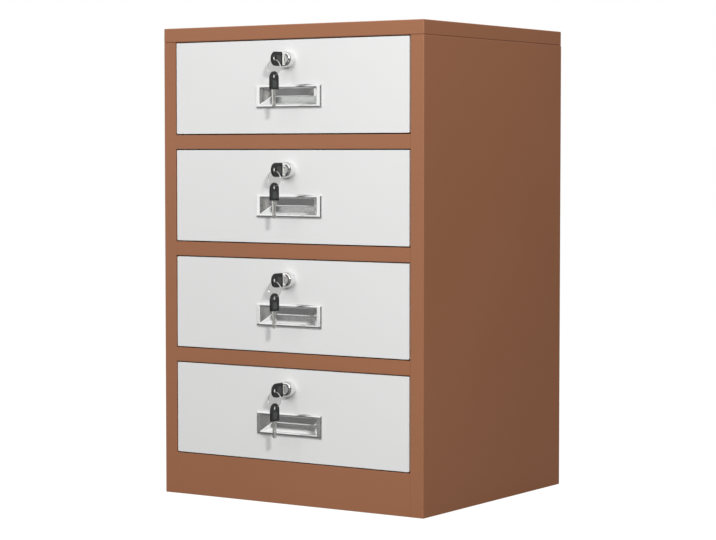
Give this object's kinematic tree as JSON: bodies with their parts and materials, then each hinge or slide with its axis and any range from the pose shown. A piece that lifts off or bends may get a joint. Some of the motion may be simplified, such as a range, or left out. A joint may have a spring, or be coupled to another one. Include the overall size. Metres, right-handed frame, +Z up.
{
  "type": "metal drawer cabinet",
  "caption": "Free-standing steel drawer cabinet with stacked lockable flush drawers on roller runners, recessed cup handles and cam locks with keys.",
  "frame": {"origin": "middle of the footprint on the floor, on the underside of the base pan", "axes": "+Z up, +X to the right seen from the front, +Y to the back; the drawers open towards -Y"},
  "size_m": [0.46, 0.4474, 0.7],
  "materials": {
    "carcass_paint": "fine-textured copper-brown powder coat, satin",
    "front_paint": "light grey powder coat, satin",
    "zinc_steel": "bright zinc plate",
    "chrome": "polished chrome plate",
    "bright_steel": "nickel-plated wire",
    "key_plastic": "black moulded plastic key bow on a nickel-plated steel blade",
    "nylon": "natural white nylon"
  },
  "bodies": {
    "cabinet": {"side_panel_left": "carcass_paint", "side_panel_right": "carcass_paint", "top_cap": "carcass_paint", "back_panel": "carcass_paint", "base_pan": "carcass_paint", "plinth": "carcass_paint", "front_rail_1": "carcass_paint", "front_rail_2": "carcass_paint", "front_rail_3": "carcass_paint", "slide_uprights": "zinc_steel", "cabinet_rails": "zinc_steel", "back_screws": "zinc_steel"},
    "drawer_1": {"drawer_front_1": "front_paint", "drawer_tray_1": "front_paint", "drawer_rails_1": "zinc_steel", "handle_1": "chrome", "lock_case_1": "chrome"},
    "front_rollers_1": {"front_rollers_1": "nylon"},
    "rear_rollers_1": {"rear_rollers_1": "nylon"},
    "lock_1": {"lock_plug_1": "chrome", "lock_cam_1": "zinc_steel"},
    "key_1": {"key_1": "key_plastic"},
    "key_ring_1": {"key_ring_1": "bright_steel"},
    "spare_key_1": {"spare_key_1": "key_plastic"},
    "drawer_2": {"drawer_front_2": "front_paint", "drawer_tray_2": "front_paint", "drawer_rails_2": "zinc_steel", "handle_2": "chrome", "lock_case_2": "chrome"},
    "front_rollers_2": {"front_rollers_2": "nylon"},
    "rear_rollers_2": {"rear_rollers_2": "nylon"},
    "lock_2": {"lock_plug_2": "chrome", "lock_cam_2": "zinc_steel"},
    "key_2": {"key_2": "key_plastic"},
    "key_ring_2": {"key_ring_2": "bright_steel"},
    "spare_key_2": {"spare_key_2": "key_plastic"},
    "drawer_3": {"drawer_front_3": "front_paint", "drawer_tray_3": "front_paint", "drawer_rails_3": "zinc_steel", "handle_3": "chrome", "lock_case_3": "chrome"},
    "front_rollers_3": {"front_rollers_3": "nylon"},
    "rear_rollers_3": {"rear_rollers_3": "nylon"},
    "lock_3": {"lock_plug_3": "chrome", "lock_cam_3": "zinc_steel"},
    "key_3": {"key_3": "key_plastic"},
    "key_ring_3": {"key_ring_3": "bright_steel"},
    "spare_key_3": {"spare_key_3": "key_plastic"},
    "drawer_4": {"drawer_front_4": "front_paint", "drawer_tray_4": "front_paint", "drawer_rails_4": "zinc_steel", "handle_4": "chrome", "lock_case_4": "chrome"},
    "front_rollers_4": {"front_rollers_4": "nylon"},
    "rear_rollers_4": {"rear_rollers_4": "nylon"},
    "lock_4": {"lock_plug_4": "chrome", "lock_cam_4": "zinc_steel"},
    "key_4": {"key_4": "key_plastic"},
    "key_ring_4": {"key_ring_4": "bright_steel"},
    "spare_key_4": {"spare_key_4": "key_plastic"}
  },
  "joints": [
    {"name": "drawer_slide_1", "type": "slide", "parent": "cabinet", "child": "drawer_1", "axis": [0, -1, 0], "range_m": [0, 0.285]},
    {"name": "front_roller_spin_1", "type": "hinge", "parent": "cabinet", "child": "front_rollers_1", "pos_m": [0, -0.16, 0.58535], "axis": [1, 0, 0], "range_deg": [0, 1850]},
    {"name": "rear_roller_spin_1", "type": "hinge", "parent": "drawer_1", "child": "rear_rollers_1", "pos_m": [0, 0.1488, 0.58225], "axis": [1, 0, 0], "range_deg": [0, 1850]},
    {"name": "lock_turn_1", "type": "hinge", "parent": "drawer_1", "child": "lock_1", "pos_m": [0, -0.2, 0.649], "axis": [0, 1, 0], "range_deg": [0, 90]},
    {"name": "key_pull_1", "type": "slide", "parent": "lock_1", "child": "key_1", "axis": [0, -1, 0], "range_m": [0, 0.022]},
    {"name": "ring_hang_1", "type": "hinge", "parent": "key_1", "child": "key_ring_1", "pos_m": [0, -0.2372, 0.64292], "axis": [0, 1, 0], "range_deg": [-69, 1]},
    {"name": "spare_swing_1", "type": "hinge", "parent": "key_ring_1", "child": "spare_key_1", "pos_m": [0, -0.2372, 0.62545], "axis": [1, 0, 0], "range_deg": [-70, 35]},
    {"name": "drawer_slide_2", "type": "slide", "parent": "cabinet", "child": "drawer_2", "axis": [0, -1, 0], "range_m": [0, 0.285]},
    {"name": "front_roller_spin_2", "type": "hinge", "parent": "cabinet", "child": "front_rollers_2", "pos_m": [0, -0.16, 0.42585], "axis": [1, 0, 0], "range_deg": [0, 1850]},
    {"name": "rear_roller_spin_2", "type": "hinge", "parent": "drawer_2", "child": "rear_rollers_2", "pos_m": [0, 0.1488, 0.42275], "axis": [1, 0, 0], "range_deg": [0, 1850]},
    {"name": "lock_turn_2", "type": "hinge", "parent": "drawer_2", "child": "lock_2", "pos_m": [0, -0.2, 0.4895], "axis": [0, 1, 0], "range_deg": [0, 90]},
    {"name": "key_pull_2", "type": "slide", "parent": "lock_2", "child": "key_2", "axis": [0, -1, 0], "range_m": [0, 0.022]},
    {"name": "ring_hang_2", "type": "hinge", "parent": "key_2", "child": "key_ring_2", "pos_m": [0, -0.2372, 0.48342], "axis": [0, 1, 0], "range_deg": [-69, 1]},
    {"name": "spare_swing_2", "type": "hinge", "parent": "key_ring_2", "child": "spare_key_2", "pos_m": [0, -0.2372, 0.46595], "axis": [1, 0, 0], "range_deg": [-70, 35]},
    {"name": "drawer_slide_3", "type": "slide", "parent": "cabinet", "child": "drawer_3", "axis": [0, -1, 0], "range_m": [0, 0.285]},
    {"name": "front_roller_spin_3", "type": "hinge", "parent": "cabinet", "child": "front_rollers_3", "pos_m": [0, -0.16, 0.26635], "axis": [1, 0, 0], "range_deg": [0, 1850]},
    {"name": "rear_roller_spin_3", "type": "hinge", "parent": "drawer_3", "child": "rear_rollers_3", "pos_m": [0, 0.1488, 0.26325], "axis": [1, 0, 0], "range_deg": [0, 1850]},
    {"name": "lock_turn_3", "type": "hinge", "parent": "drawer_3", "child": "lock_3", "pos_m": [0, -0.2, 0.33], "axis": [0, 1, 0], "range_deg": [0, 90]},
    {"name": "key_pull_3", "type": "slide", "parent": "lock_3", "child": "key_3", "axis": [0, -1, 0], "range_m": [0, 0.022]},
    {"name": "ring_hang_3", "type": "hinge", "parent": "key_3", "child": "key_ring_3", "pos_m": [0, -0.2372, 0.32392], "axis": [0, 1, 0], "range_deg": [-69, 1]},
    {"name": "spare_swing_3", "type": "hinge", "parent": "key_ring_3", "child": "spare_key_3", "pos_m": [0, -0.2372, 0.30645], "axis": [1, 0, 0], "range_deg": [-70, 35]},
    {"name": "drawer_slide_4", "type": "slide", "parent": "cabinet", "child": "drawer_4", "axis": [0, -1, 0], "range_m": [0, 0.285]},
    {"name": "front_roller_spin_4", "type": "hinge", "parent": "cabinet", "child": "front_rollers_4", "pos_m": [0, -0.16, 0.10685], "axis": [1, 0, 0], "range_deg": [0, 1850]},
    {"name": "rear_roller_spin_4", "type": "hinge", "parent": "drawer_4", "child": "rear_rollers_4", "pos_m": [0, 0.1488, 0.10375], "axis": [1, 0, 0], "range_deg": [0, 1850]},
    {"name": "lock_turn_4", "type": "hinge", "parent": "drawer_4", "child": "lock_4", "pos_m": [0, -0.2, 0.1705], "axis": [0, 1, 0], "range_deg": [0, 90]},
    {"name": "key_pull_4", "type": "slide", "parent": "lock_4", "child": "key_4", "axis": [0, -1, 0], "range_m": [0, 0.022]},
    {"name": "ring_hang_4", "type": "hinge", "parent": "key_4", "child": "key_ring_4", "pos_m": [0, -0.2372, 0.16442], "axis": [0, 1, 0], "range_deg": [-69, 1]},
    {"name": "spare_swing_4", "type": "hinge", "parent": "key_ring_4", "child": "spare_key_4", "pos_m": [0, -0.2372, 0.14695], "axis": [1, 0, 0], "range_deg": [-70, 35]}
  ],
  "couplings": [
    {"joint": "front_roller_spin_1", "follows": "drawer_slide_1", "rad_per_m": 111.11},
    {"joint": "rear_roller_spin_1", "follows": "drawer_slide_1", "rad_per_m": 111.11},
    {"joint": "ring_hang_1", "follows": "lock_turn_1", "ratio": -0.75},
    {"joint": "front_roller_spin_2", "follows": "drawer_slide_2", "rad_per_m": 111.11},
    {"joint": "rear_roller_spin_2", "follows": "drawer_slide_2", "rad_per_m": 111.11},
    {"joint": "ring_hang_2", "follows": "lock_turn_2", "ratio": -0.75},
    {"joint": "front_roller_spin_3", "follows": "drawer_slide_3", "rad_per_m": 111.11},
    {"joint": "rear_roller_spin_3", "follows": "drawer_slide_3", "rad_per_m": 111.11},
    {"joint": "ring_hang_3", "follows": "lock_turn_3", "ratio": -0.75},
    {"joint": "front_roller_spin_4", "follows": "drawer_slide_4", "rad_per_m": 111.11},
    {"joint": "rear_roller_spin_4", "follows": "drawer_slide_4", "rad_per_m": 111.11},
    {"joint": "ring_hang_4", "follows": "lock_turn_4", "ratio": -0.75}
  ]
}
